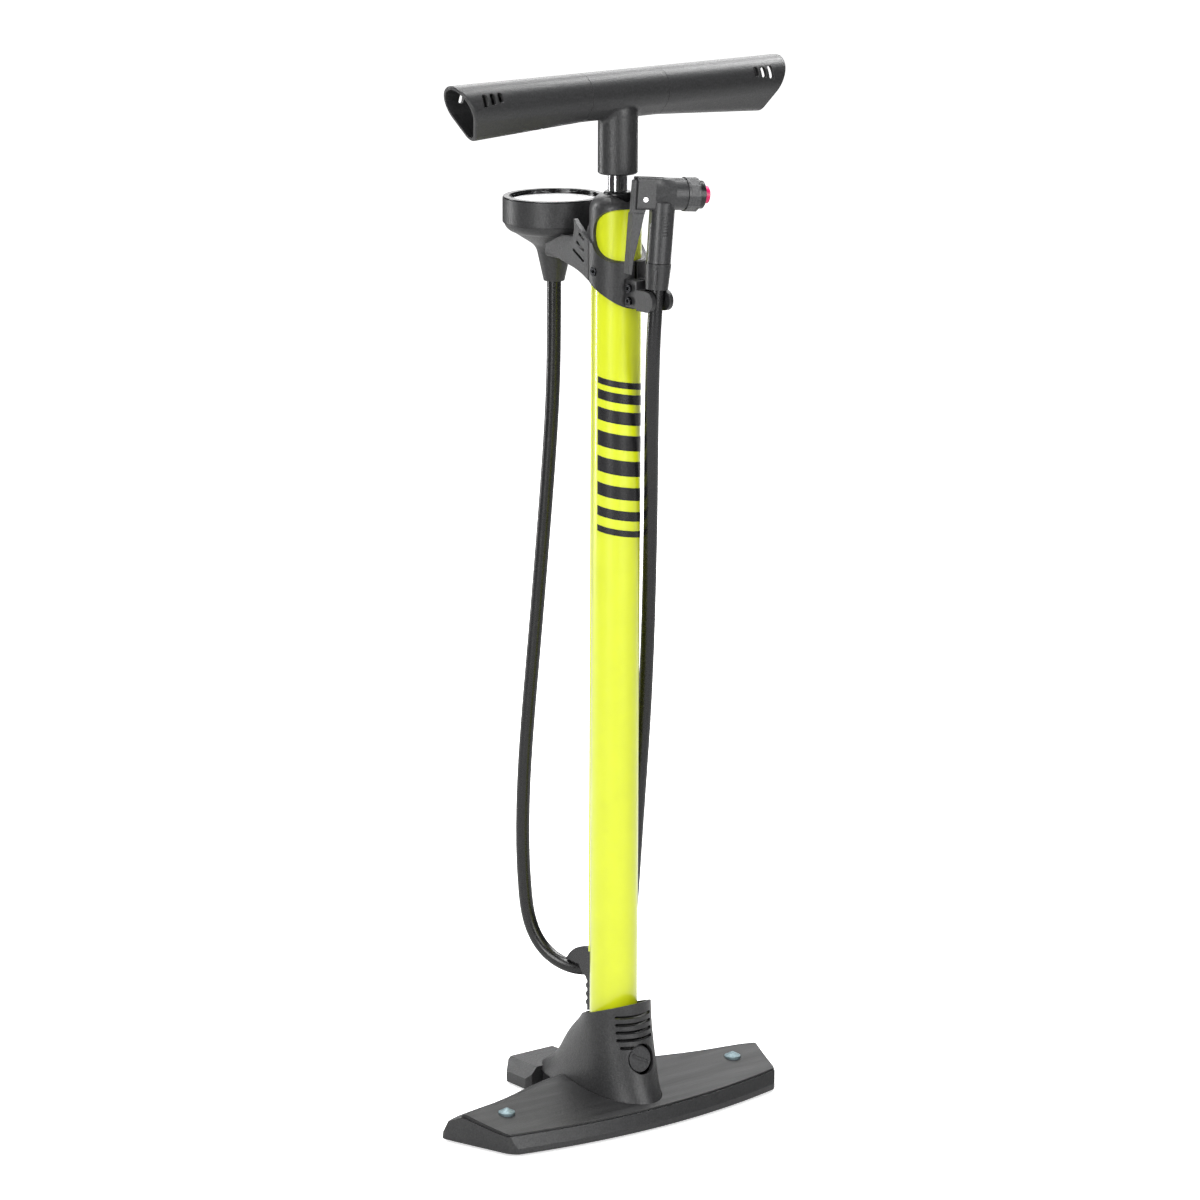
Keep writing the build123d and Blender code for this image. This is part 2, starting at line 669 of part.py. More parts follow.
# ---------------------------------------------------------------- gauge
bezel_plane = Plane(
    origin=(0, gauge_y, gauge_top),
    x_dir=(1, 0, 0),
    z_dir=(0, -sin(radians(gauge_tilt)), cos(radians(gauge_tilt))),
)
funnel_plane = Plane(origin=(0, gauge_y, 0), x_dir=(1, 0, 0), z_dir=(0, -1, 0))
gauge_axis = Axis((0, gauge_y, 0), (0, 0, 1))
case_inner = 29.4
floor_top = 562.6
bezel_seat_r = 30.9          # the bezel drops into the case's mouth
hose_stop = 530.0             # the hose ends here inside the funnel
barb_r = 2.5
stem_length = floor_top - hose_stop - 0.1
needle_shaft_r = 1.0
bow_z = 566.0                 # height of the bourdon tube's middle


def gauge_ring(outer, inner, low, high, mode=Mode.ADD):
    """A ring about the dial's axis between two offsets from the bezel's top."""
    with BuildSketch(bezel_plane.offset(low)) as ring:
        Circle(outer)
        if inner:
            Circle(inner, mode=Mode.SUBTRACT)
    extrude(ring.sketch, amount=high - low, mode=mode)


with BuildPart() as gauge_case:
    with BuildSketch(Plane.XY.offset(case_bottom)) as cup:
        with Locations((0, gauge_y)):
            Circle(gauge_r)
    extrude(cup.sketch, amount=30)
    with BuildSketch(Plane.XY.offset(floor_top)) as room:
        with Locations((0, gauge_y)):
            Circle(case_inner)
    extrude(room.sketch, amount=30, mode=Mode.SUBTRACT)
    split(bisect_by=bezel_plane.offset(-0.95), keep=Keep.BOTTOM)
    gauge_ring(bezel_seat_r + seat_gap, 0, -5.05, 1, mode=Mode.SUBTRACT)
    with Locations((0, gauge_y, case_bottom)):
        Cylinder(barb_r + seat_gap, 10, mode=Mode.SUBTRACT)
export(gauge_case, "gauge_case")

with BuildPart() as gauge_bezel:
    gauge_ring(gauge_r - 0.3, 27.8, -0.9, 0)
    fillet(gauge_bezel.edges().filter_by(GeomType.CIRCLE).sort_by(SortBy.RADIUS)[-2:], 0.4)
    gauge_ring(bezel_seat_r, 27.8, -5.0, -0.9)
    gauge_ring(30.0, 0, -6, -1.5, mode=Mode.SUBTRACT)
export(gauge_bezel, "gauge_bezel")

with BuildPart() as gauge_lens:
    gauge_ring(29.9, 0, -3.05, -1.55)
export(gauge_lens, "gauge_lens")

with BuildPart() as gauge_dial:
    gauge_ring(28.3, needle_shaft_r + 0.3, -6.8, -6.0)
export(gauge_dial, "gauge_dial")

with BuildPart() as gauge_needle:
    # Thin pointer with a counterweight on its shaft; it rests at the low end of the scale.
    with BuildSketch(bezel_plane.offset(-5.0)) as pointer:
        with Locations(Location((0, 0, 0), (0, 0, 225))):
            Polygon((-7.5, -1.4), (0, -1.2), (23.5, -0.25), (23.5, 0.25), (0, 1.2), (-7.5, 1.4), align=None)
        Circle(2.4)
    extrude(pointer.sketch, amount=0.6)
    gauge_ring(needle_shaft_r, 0, -11.0, -5.0)
export(gauge_needle, "gauge_needle")

with BuildPart() as gauge_movement:
    # Brass block on the case's floor with the bearing of the needle's shaft.
    with Locations((0, gauge_y, floor_top + 0.1)):
        Box(16, 12, 6.2, align=(Align.CENTER, Align.CENTER, Align.MIN))
    gauge_ring(4.5, 0, -16, -8.0)
    with Locations((0, gauge_y, floor_top + 0.1)):
        Box(40, 40, 20, align=(Align.CENTER, Align.CENTER, Align.MAX), mode=Mode.SUBTRACT)
    gauge_ring(needle_shaft_r + running_gap, 0, -11.4, -7.0, mode=Mode.SUBTRACT)
export(gauge_movement, "gauge_movement")

with BuildPart() as bourdon_tube:
    # Curved spring tube that bends open under pressure.
    with BuildLine(Plane.XY.offset(bow_z)) as bow:
        CenterArc((0, gauge_y), 19, -80, 250)
    with BuildSketch(Plane(origin=bow.line @ 0, z_dir=bow.line % 0)) as tube:
        Ellipse(1.1, 2.4)
    sweep(tube.sketch, path=bow.line)
    with Locations((6.2, gauge_y - 15.5, bow_z)):
        Box(5.0, 8.6, 3.0)
export(bourdon_tube, "bourdon_tube")

with BuildPart() as gauge_bowl:
    with BuildSketch(funnel_plane) as shell:
        with BuildLine():
            ThreePointArc((31.2, case_bottom - 0.1), (29.6, 556.9), (25.6, 554.4))
            Line((25.6, 554.4), (14.5, 547.3))
            ThreePointArc((14.5, 547.3), (12.2, 545.0), (10.6, 541.8))
            Polyline((10.6, 541.8), (6.5, funnel_bottom), (0, funnel_bottom), (0, case_bottom - 0.1))
            Line((0, case_bottom - 0.1), (31.2, case_bottom - 0.1))
        make_face()
    revolve(shell.sketch, axis=gauge_axis)
    # Arm to the barrel.
    with Locations((0, 17.5, 541)):
        Box(2 * arm_outer, 36, 16, align=(Align.CENTER, Align.MIN, Align.MIN))
    fillet(gauge_bowl.edges().filter_by(Axis.Y).group_by(Axis.Z)[0], 3)
    with BuildSketch(funnel_plane) as hollow:
        with BuildLine():
            ThreePointArc((28.9, case_bottom - 0.1), (27.6, 558.1), (24.6, 556.3))
            Line((24.6, 556.3), (13.2, 549.0))
            ThreePointArc((13.2, 549.0), (10.3, 545.8), (8.7, 542.2))
            Polyline((8.7, 542.2), (6.0, hose_stop), (0, hose_stop), (0, case_bottom - 0.1))
            Line((0, case_bottom - 0.1), (28.9, case_bottom - 0.1))
        make_face()
    revolve(hollow.sketch, axis=gauge_axis, mode=Mode.SUBTRACT)
    with Locations((0, gauge_y, hose_stop)):
        Cylinder(hose_r + 0.1, 30, mode=Mode.SUBTRACT)
    # Saddle for the band, pocket for the rib's top and the air passage.
    tube_z(band_r + 0.15, 0, 530, 570, mode=Mode.SUBTRACT)
    with Locations((0, 14, 530)):
        Box(
            2 * rib_half + 0.4, 6.6, rib_top + 0.2 - 530, align=(Align.CENTER, Align.MIN, Align.MIN),
            mode=Mode.SUBTRACT,
        )
    with Locations(Location((0, 17, 550), (-90, 0, 0))):
        Cylinder(1.5, 40, align=(Align.CENTER, Align.CENTER, Align.MIN), mode=Mode.SUBTRACT)
export(gauge_bowl, "gauge_bowl")

with BuildPart() as gauge_socket:
    # Brass stem from the hose's end up to the movement.
    with Locations((0, gauge_y, hose_stop + 0.05)):
        Cylinder(5.6, 2.0, align=(Align.CENTER, Align.CENTER, Align.MIN))
        Cylinder(barb_r, stem_length, align=(Align.CENTER, Align.CENTER, Align.MIN))
        Cylinder(1.2, stem_length, align=(Align.CENTER, Align.CENTER, Align.MIN), mode=Mode.SUBTRACT)
export(gauge_socket, "gauge_socket")


# ---------------------------------------------------------------- pump head
# Local frame of the parked head: u points along the nozzle, w up its shaft.
lean = radians(head_lean)
turned = radians(head_turn)
u_dir = Vector(cos(turned) * cos(lean), sin(turned), -cos(turned) * sin(lean))
w_dir = Vector(sin(lean), 0, cos(lean))
side_dir = u_dir.cross(w_dir)
head_origin = Vector(head_x, head_y, head_z)
side_plane = Plane(origin=head_origin, x_dir=u_dir, z_dir=side_dir)            # draws in u, w
shaft_plane = Plane(origin=head_origin, x_dir=u_dir, z_dir=w_dir)              # draws across the shaft
nozzle_plane = Plane(                                                          # draws across the nozzle
    origin=head_origin + w_dir * head_axis_w, x_dir=-side_dir, z_dir=u_dir,
)
nozzle_axis = Axis(head_origin, u_dir)
collar_top = 15.8
shaft_top = 49.0
block_left = -18.0
block_right = -6.5
block_width = 19.5
fork_end = -0.5               # the fork's slot ends here
barrel_start = 5.0
head_r = 9.8
nut_start = 13.0
spigot_r = 8.2
spigot_end = 19.4
plunger_r = 4.5
plunger_end = 12.5
nut_low = 13.2
nut_high = 20.9
nut_r = 10.6
nose_end = 24.8
seal_r = 5.3
seal_start = 15.8
nozzle_end = 28.8
nozzle_bore_r = 3.0
hose_stop_w = 8.0             # the hose ends here inside the collar


def about_nozzle(outer, inner, low, high, mode=Mode.ADD):
    """A ring about the nozzle's axis between two stations along it."""
    with BuildSketch(nozzle_plane.offset(low)) as ring:
        Circle(outer)
        if inner:
            Circle(inner, mode=Mode.SUBTRACT)
    extrude(ring.sketch, amount=high - low, mode=mode)


def about_shaft(outer, inner, low, high, mode=Mode.ADD):
    """A ring about the shaft's axis between two heights along it."""
    with BuildSketch(shaft_plane.offset(low)) as ring:
        Circle(outer)
        if inner:
            Circle(inner, mode=Mode.SUBTRACT)
    extrude(ring.sketch, amount=high - low, mode=mode)


with BuildPart() as head_collar:
    # Tapered sleeve with a raised rib, swaged over the end of the hose.
    with BuildSketch(shaft_plane) as mouth:
        Circle(6.9)
    with BuildSketch(shaft_plane.offset(collar_top)) as lip:
        Circle(7.9)
    loft([mouth.sketch, lip.sketch])
    with BuildSketch(shaft_plane.offset(4)) as key:
        with Locations(Location((-3.9, -6.4, 0), (0, 0, -31))):
            RectangleRounded(2.2, 2.2, 0.6)
    extrude(key.sketch, amount=8)
    about_shaft(hose_r + 0.05, 0, -1, hose_stop_w, mode=Mode.SUBTRACT)
    about_shaft(barb_r + seat_gap, 0, 0, 20, mode=Mode.SUBTRACT)
export(head_collar, "head_collar")

with BuildPart() as head_barb:
    # Brass tube from the hose's end into the shaft.
    about_shaft(barb_r, 1.2, hose_stop_w + 0.05, 30)
export(head_barb, "head_barb")

with BuildPart() as head_body:
    # Shaft with a row of grip dimples, fork for the lever, and the nozzle's barrel.
    with BuildSketch(shaft_plane.offset(collar_top + 0.2)) as foot:
        Circle(7.5)
    with BuildSketch(shaft_plane.offset(shaft_top + 4)) as neck:
        Circle(7.8)
    loft([foot.sketch, neck.sketch])
    with BuildSketch(nozzle_plane.offset(block_left)) as cheek:
        RectangleRounded(2 * fork_half, block_width, 1.5)
    extrude(cheek.sketch, amount=block_right - block_left)
    with BuildSketch(nozzle_plane.offset(block_right)) as square:
        RectangleRounded(2 * fork_half, block_width, 1.5)
    with BuildSketch(nozzle_plane.offset(barrel_start)) as round_end:
        Circle(head_r)
    loft([square.sketch, round_end.sketch])
    about_nozzle(head_r, 0, barrel_start, nut_start)
    about_nozzle(spigot_r, 0, nut_start, spigot_end)
    # Open fork, pin hole, plunger bore, seal seat and air way.
    with BuildSketch(side_plane) as fork:
        with Locations((fork_end, shaft_top + 0.2)):
            Rectangle(20.5, 22, align=(Align.MAX, Align.MIN))
        with Locations((block_left - 1, 40)):
            Rectangle(11.6, 12, align=(Align.MIN, Align.MIN))
    extrude(fork.sketch, amount=slot_half, both=True, mode=Mode.SUBTRACT)
    with BuildSketch(side_plane) as pin_hole:
        with Locations((pivot_u, pivot_w)):
            Circle(1.5)
    extrude(pin_hole.sketch, amount=10, both=True, mode=Mode.SUBTRACT)
    about_nozzle(plunger_r + running_gap, 0, fork_end - 0.1, seal_start, mode=Mode.SUBTRACT)
    about_nozzle(seal_r + seat_gap, 0, seal_start, spigot_end + 1, mode=Mode.SUBTRACT)
    about_shaft(barb_r + seat_gap, 0, collar_top, 30.2, mode=Mode.SUBTRACT)
    about_shaft(1.6, 0, 30, head_axis_w, mode=Mode.SUBTRACT)
export(head_body, "head_body")

with BuildPart() as lever_pin:
    with BuildSketch(side_plane) as pin:
        with Locations((pivot_u, pivot_w)):
            Circle(1.5)
    extrude(pin.sketch, amount=fork_half + 0.2, both=True)
export(lever_pin, "lever_pin")

with BuildPart() as head_lever:
    # Slender channel-shaped arm below the fork.
    with BuildSketch(side_plane) as arm:
        Polygon(
            (-20.2, 46.0), (-20.5, 9.2), (-18.4, 8.6), (-17.7, 18.7), (-15.6, 29.5), (-13.5, 41.3),
            (-12.8, 46.0), align=None,
        )
    extrude(arm.sketch, amount=3.9, both=True)
    fillet(head_lever.edges().filter_by(Axis(head_origin, side_dir)), 0.7)
    with BuildSketch(side_plane) as trough:
        Polygon((-18.8, 48), (-19.1, 13.0), (-8, 13.0), (-8, 48), align=None)
    extrude(trough.sketch, amount=2.6, both=True, mode=Mode.SUBTRACT)
    # Tongue inside the fork with its hub on the pin; its upper end swings in and pushes the plunger.
    with BuildSketch(side_plane) as tongue:
        with BuildLine():
            Polyline((-18.8, 43.0), (-20.2, 43.0), (-20.0, 50), (-19.9, 64.4))
            ThreePointArc((-19.9, 64.4), (-19.2, 65.8), (-18.0, 65.4))
            Polyline((-18.0, 65.4), (-15.5, 59.4), (-10.5, 52.0), (-12.9, 43.0), (-18.8, 43.0))
        make_face()
        with Locations((pivot_u, pivot_w)):
            Circle(hub_r)
            Circle(1.5 + running_gap, mode=Mode.SUBTRACT)
    extrude(tongue.sketch, amount=2.6, both=True)
export(head_lever, "head_lever")

with BuildPart() as squeeze_plunger:
    # Pushed by the lever's upper end, it squashes the seal.
    about_nozzle(plunger_r, 0, fork_end, fork_end + 2)
    about_nozzle(plunger_r, 1.4, fork_end + 2, plunger_end)
export(squeeze_plunger, "squeeze_plunger")

with BuildPart() as nozzle_seal:
    about_nozzle(seal_r, nozzle_bore_r, seal_start + 0.1, nozzle_end)
    fillet(nozzle_seal.edges().filter_by(GeomType.CIRCLE).sort_by(nozzle_axis)[-2:], 0.5)
export(nozzle_seal, "nozzle_seal")

with BuildPart() as ring_nut:
    # Ten-sided knurled nut with shallow flutes.
    with BuildSketch(nozzle_plane.offset(nut_low)) as knurl:
        RegularPolygon(nut_r, 10)
        Circle(spigot_r + running_gap, mode=Mode.SUBTRACT)
    extrude(knurl.sketch, amount=nut_high - nut_low)
    about_nozzle(nut_r - 0.25, spigot_r + running_gap, nut_low, nut_low + 1.6)
    about_nozzle(nut_r - 0.25, seal_r + 0.15, spigot_end + 0.2, nut_high)
export(ring_nut, "ring_nut")

with BuildPart() as nose_ring:
    about_nozzle(8.6, seal_r + 0.15, nut_high + 0.05, nose_end)
    fillet(nose_ring.edges().filter_by(GeomType.CIRCLE).sort_by(nozzle_axis)[-1], 1.2)
export(nose_ring, "nose_ring")


# ---------------------------------------------------------------- plunger
thread_r = 3.0

with BuildPart() as rod:
    tube_z(thread_r, 0, 53.0, piston_bottom - 0.1)
    tube_z(rod_r, 0, piston_bottom - 0.1, rod_top)
export(rod, "rod")

with BuildPart() as piston_nut:
    with BuildSketch(Plane.XY.offset(53.2)) as hexagon:
        RegularPolygon(8.0, 6)
        Circle(thread_r, mode=Mode.SUBTRACT)
    extrude(hexagon.sketch, amount=piston_bottom - 0.1 - 53.2)
export(piston_nut, "piston_nut")

with BuildPart() as piston_collar:
    tube_z(9.0, rod_r, piston_top + 0.1, piston_top + 2.6)
export(piston_collar, "piston_collar")

with BuildPart() as piston:
    tube_z(barrel_bore_r - 0.1, rod_r + running_gap, piston_bottom, piston_top)
    tube_z(barrel_bore_r + 1, 10.6, 62.6, 66.4, mode=Mode.SUBTRACT)
export(piston, "piston")

with BuildPart() as piston_seal:
    tube_z(barrel_bore_r - 0.04, 10.65, 62.7, 66.3)
export(piston_seal, "piston_seal")

with BuildPart() as stem_insert:
    tube_z(8.5, rod_r + 0.02, 604, 624)
export(stem_insert, "stem_insert")

core_top_r = 13.5
core_low_r = 8.0
core_top_z = handle_top - core_top_r
core_low_z = 639.5
end_top_r = 14.04
end_low_r = 6.05
end_low_z = 631.7
grip_start = handle_core_half + 0.2
grip_reach = 133.0
end_plane = Plane(origin=(grip_end_bottom, 0, grip_low), x_dir=(0, 1, 0), z_dir=(0.905, 0, -0.425))


def egg(x, top_r, low_r, low_z, inset=0.0):
    """Egg-shaped section of the handle: a large circle over a small one, wrapped."""
    with BuildSketch(Plane.YZ.offset(x)) as section:
        with Locations((0, handle_top - top_r)):
            Circle(top_r - inset)
        with Locations((0, low_z)):
            Circle(low_r - inset)
        make_hull()
    return section.sketch


with BuildPart() as handle_center:
    extrude(egg(-handle_core_half, core_top_r, core_low_r, core_low_z), amount=2 * handle_core_half)
    # Spigots that carry the grips.
    extrude(egg(-42, core_top_r, core_low_r, core_low_z, inset=2.6), amount=84)
    # Domed stem that melts into the grip, and the socket for the rod.
    with BuildSketch(Plane.XZ) as stem:
        with BuildLine():
            Polyline((0, stem_bottom), (stem_r - 0.8, stem_bottom), (stem_r, stem_bottom + 0.8),
                     (stem_r, 634))
            ThreePointArc((stem_r, 634), (9.4, 642.6), (0, 647))
            Line((0, 647), (0, stem_bottom))
        make_face()
    revolve(stem.sketch, axis=Axis.Z)
    root = handle_center.edges().filter_by(GeomType.BSPLINE).filter_by(
        lambda edge: abs(edge.center().X) < stem_r + 1 and edge.center().Z > 628
    )
    fillet(root, 3.0)
    tube_z(rod_r + 0.02, 0, stem_bottom - 1, rod_top + 0.2, mode=Mode.SUBTRACT)
    tube_z(8.5, 0, 604, 624, mode=Mode.SUBTRACT)
export(handle_center, "handle_center")

with BuildPart() as grip_room:
    loft([
        egg(grip_start, core_top_r, core_low_r, core_low_z, inset=grip_wall),
        egg(grip_reach, end_top_r, end_low_r, end_low_z, inset=grip_wall),
    ])

with BuildPart() as grip_right:
    # Hollow grip that grows towards a slanted open end, with three see-through slots.
    loft([
        egg(grip_start, core_top_r, core_low_r, core_low_z),
        egg(grip_reach, end_top_r, end_low_r, end_low_z),
    ])
    split(bisect_by=end_plane, keep=Keep.BOTTOM)
    fillet(grip_right.edges().group_by(Axis.X)[-1], 1.0)
    add(grip_room.part, mode=Mode.SUBTRACT)
    for slot_x, slot_height in ((109.5, 7.5), (103.8, 6.5), (98.1, 5.4)):
        with BuildSketch(Plane.XZ.offset(-30)) as slot:
            with Locations((slot_x, 655.8)):
                Rectangle(3.6, slot_height, align=(Align.CENTER, Align.MAX))
            fillet(slot.vertices(), 1.2)
        extrude(slot.sketch, amount=60, mode=Mode.SUBTRACT)
export(grip_right, "grip_right")

with BuildPart() as grip_left:
    mirror(grip_right.part, about=Plane.YZ)
export(grip_left, "grip_left")


# ---------------------------------------------------------------- hose
# Route of the hose from the gauge's funnel down past the barrel, under the fin of the hose guide
# and up the other side into the head's collar.
hose_end = head_origin + w_dir * hose_stop_w
hose_route = [
    (0, 63, hose_stop), (0.2, 63.0, 490), (-0.6, 63.4, 448), (-2.9, 65.0, 402), (-5.8, 67.3, 352),
    (-8.8, 69.8, 302), (-11.8, 72.2, 256), (-14.1, 74.2, 214), (-15.0, 75.2, 176), (-14.4, 74.9, 141),
    (-11.8, 73.0, 107.5), (-5.7, 61.0, 88.0), (4.2, 41.6, 80.9), (14.1, 22.2, 88.0), (20.1, 10.4, 107),
    (21.0, 8.2, 136), (21.7, 5.8, 172), (22.2, 2.4, 214), (23.0, -0.8, 258), (22.8, -3.7, 304),
    (20.8, -7.6, 350), (17.2, -12.9, 394), (11.2, -20.4, 433), (4.2, -29.6, 468), (-1.8, -38.0, 504),
    tuple(hose_end),
]
corners = [Vector(*point) for point in hose_route]
bend_radii = []
for before, corner, after in zip(corners, corners[1:], corners[2:]):
    turn = (corner - before).get_angle(after - corner)
    shorter = min((corner - before).length, (after - corner).length)
    bend_radii.append(0.45 * shorter / tan(radians(turn / 2)))
print("hose bend radii", [round(r) for r in bend_radii])
print("hose runs", [round((b - a).length, 1) for a, b in zip(corners, corners[1:])])

with BuildPart() as hose:
    with BuildLine() as path:
        FilletPolyline(*corners, radius=bend_radii)
    centre_line = path.wire()
    with BuildSketch(Plane(origin=centre_line @ 0, z_dir=centre_line % 0)) as bore:
        Circle(hose_r)
    sweep(bore.sketch, path=centre_line)
print("hose length", round(centre_line.length, 1))
print("volume over section times length", round(hose.part.volume / (centre_line.length * pi * hose_r**2), 4))
export(hose, "hose")
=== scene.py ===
"""Floor bike pump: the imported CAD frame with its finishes, its hose and its small surface detail.

Everything is in metres in the CAD's own frame: the barrel stands on the origin, +Z is up, +X runs
along the handle and -Y is the front, where the head is parked.
"""

import json
from math import cos, radians, sin

import bmesh
import bpy
from mathutils import Matrix, Vector


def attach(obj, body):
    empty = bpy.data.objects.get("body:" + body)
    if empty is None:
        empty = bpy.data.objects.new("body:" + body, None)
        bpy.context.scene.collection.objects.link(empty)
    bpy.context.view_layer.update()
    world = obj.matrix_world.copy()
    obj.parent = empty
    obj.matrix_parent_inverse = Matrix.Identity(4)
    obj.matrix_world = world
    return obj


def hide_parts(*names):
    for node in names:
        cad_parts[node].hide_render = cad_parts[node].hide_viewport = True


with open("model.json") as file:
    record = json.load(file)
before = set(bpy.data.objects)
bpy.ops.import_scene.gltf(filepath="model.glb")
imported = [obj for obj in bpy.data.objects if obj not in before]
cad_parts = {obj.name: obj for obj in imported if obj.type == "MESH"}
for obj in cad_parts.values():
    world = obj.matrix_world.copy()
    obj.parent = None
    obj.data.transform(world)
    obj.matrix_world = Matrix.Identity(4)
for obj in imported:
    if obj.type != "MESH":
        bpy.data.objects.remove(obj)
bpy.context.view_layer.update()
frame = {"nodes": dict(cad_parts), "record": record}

MM = 0.001
GAUGE = (0, 0.063, 0.5767)           # middle of the bezel's top
GAUGE_TILT = -1.0                    # degrees about X: the dial leans back a little
HEAD = (0.0004, -0.038, 0.532)       # lower end of the parked head's collar
HEAD_LEAN = 4.5                      # degrees towards +X
HEAD_TURN = -17.0                    # degrees about Z: the nozzle is turned towards the front


# ---------------------------------------------------------------- camera
def make_camera():
    """A long lens from the front left, a little above the pump."""
    target = Vector((0, 0, 0.318))
    distance = 3.189
    azimuth = radians(-38.3)
    elevation = radians(13.7)
    roll = radians(0.3)
    back = Vector((sin(azimuth) * cos(elevation), -cos(azimuth) * cos(elevation), sin(elevation)))
    data = bpy.data.cameras.new("camera")
    data.lens = 154.5
    data.sensor_width = 36.0
    data.shift_x = -0.0128
    data.shift_y = 0.0181
    data.clip_end = 50.0
    camera = bpy.data.objects.new("camera", data)
    bpy.context.scene.collection.objects.link(camera)
    turn = (-back).to_track_quat("-Z", "Y").to_matrix().to_4x4() @ Matrix.Rotation(roll, 4, "Z")
    camera.matrix_world = Matrix.Translation(target + back * distance) @ turn
    bpy.context.scene.camera = camera


# ---------------------------------------------------------------- stage and light
def map_range(tree, value, source, target):
    """Maps the source interval of a value onto the target interval."""
    node = tree.nodes.new("ShaderNodeMapRange")
    node.inputs["From Min"].default_value, node.inputs["From Max"].default_value = source
    node.inputs["To Min"].default_value, node.inputs["To Max"].default_value = target
    tree.links.new(value, node.inputs["Value"])
    return node.outputs["Result"]


def split_by_ray(tree, unseen, seen, surface):
    """Shows one shader to camera rays and another to every other ray."""
    ray = tree.nodes.new("ShaderNodeLightPath")
    mix = tree.nodes.new("ShaderNodeMixShader")
    tree.links.new(ray.outputs["Is Camera Ray"], mix.inputs[0])
    tree.links.new(unseen, mix.inputs[1])
    tree.links.new(seen, mix.inputs[2])
    tree.links.new(mix.outputs[0], surface)


def make_stage():
    """A pale round floor that runs off to the horizon; it bounces less light than it shows."""
    reach = 30                       # metres, so that its edge stays out of the raised-handle views
    near, far = 0.3, 0.9             # the glow rises between these distances from the pump
    mesh = bpy.data.meshes.new("floor")
    rim = [(reach * cos(radians(a)), reach * sin(radians(a)), 0) for a in range(0, 360, 5)]
    mesh.from_pydata(rim, [], [tuple(range(len(rim)))])
    floor = bpy.data.objects.new("floor", mesh)
    bpy.context.scene.collection.objects.link(floor)
    finish = bpy.data.materials.new("floor")
    finish.use_nodes = True
    tree = finish.node_tree
    tree.nodes.clear()
    bounce = tree.nodes.new("ShaderNodeBsdfDiffuse")
    bounce.inputs["Color"].default_value = (0.5, 0.5, 0.5, 1)
    paper = tree.nodes.new("ShaderNodeBsdfDiffuse")
    paper.inputs["Color"].default_value = (0.9, 0.9, 0.9, 1)
    glow = tree.nodes.new("ShaderNodeEmission")
    way = tree.nodes.new("ShaderNodeTexCoord")
    distance = tree.nodes.new("ShaderNodeVectorMath")
    distance.operation = "LENGTH"
    lit = tree.nodes.new("ShaderNodeAddShader")
    out = tree.nodes.new("ShaderNodeOutputMaterial")
    tree.links.new(way.outputs["Object"], distance.inputs[0])
    strength = map_range(tree, distance.outputs["Value"], (near, far), (0.6, 1.1))
    tree.links.new(strength, glow.inputs["Strength"])
    tree.links.new(paper.outputs[0], lit.inputs[0])
    tree.links.new(glow.outputs[0], lit.inputs[1])
    split_by_ray(tree, bounce.outputs[0], lit.outputs[0], out.inputs["Surface"])
    mesh.materials.append(finish)


def make_world():
    """A white backdrop for the camera, and a room for the reflections that is brightest in front."""
    bright_side = (-0.55, -0.70, 0.45)
    world = bpy.data.worlds.new("studio")
    bpy.context.scene.world = world
    world.use_nodes = True
    tree = world.node_tree
    room = tree.nodes["Background"]
    way = tree.nodes.new("ShaderNodeTexCoord")
    side = tree.nodes.new("ShaderNodeVectorMath")
    side.operation = "DOT_PRODUCT"
    side.inputs[1].default_value = bright_side
    tree.links.new(way.outputs["Generated"], side.inputs[0])
    strength = map_range(tree, side.outputs["Value"], (-0.8, 0.9), (0.16, 1.35))
    tree.links.new(strength, room.inputs["Strength"])
    backdrop = tree.nodes.new("ShaderNodeBackground")
    backdrop.inputs["Strength"].default_value = 1.1
    surface = tree.nodes["World Output"].inputs["Surface"]
    split_by_ray(tree, room.outputs[0], backdrop.outputs[0], surface)


def softbox(name, place, aim_z, size, power):
    """A rectangular area light, in watts, that looks at a point on the barrel's axis."""
    data = bpy.data.lights.new(name, "AREA")
    data.shape = "RECTANGLE"
    data.size, data.size_y = size
    data.energy = power
    light = bpy.data.objects.new(name, data)
    light.location = place
    light.rotation_mode = "QUATERNION"
    light.rotation_quaternion = (Vector((0, 0, aim_z)) - Vector(place)).to_track_quat("-Z", "Y")
    bpy.context.scene.collection.objects.link(light)


def make_lights():
    """Two rim strips, two front boxes, and four more above and behind for the upper faces."""
    softbox("rim_left", (-0.85, 1.65, 0.75), 0.35, (0.22, 1.8), 20)
    softbox("rim_right", (1.75, 0.75, 0.75), 0.35, (0.16, 1.8), 4)
    softbox("front_left", (-1.95, -0.8, 1.0), 0.35, (0.8, 1.6), 34)
    softbox("front_right", (-0.1, -2.15, 1.0), 0.35, (1.4, 1.6), 36)
    softbox("top", (-0.2, 0.3, 2.0), 0.3, (0.9, 0.7), 40)
    softbox("back_top", (1.0, 1.4, 1.6), 0.3, (1.6, 0.8), 18)
    softbox("back_low", (1.15, 1.45, 1.0), 0.57, (1.5, 0.5), 4)
    softbox("top_right", (1.45, 0.25, 1.9), 0.45, (0.8, 0.8), 30)
    bpy.context.scene.view_settings.view_transform = "Standard"


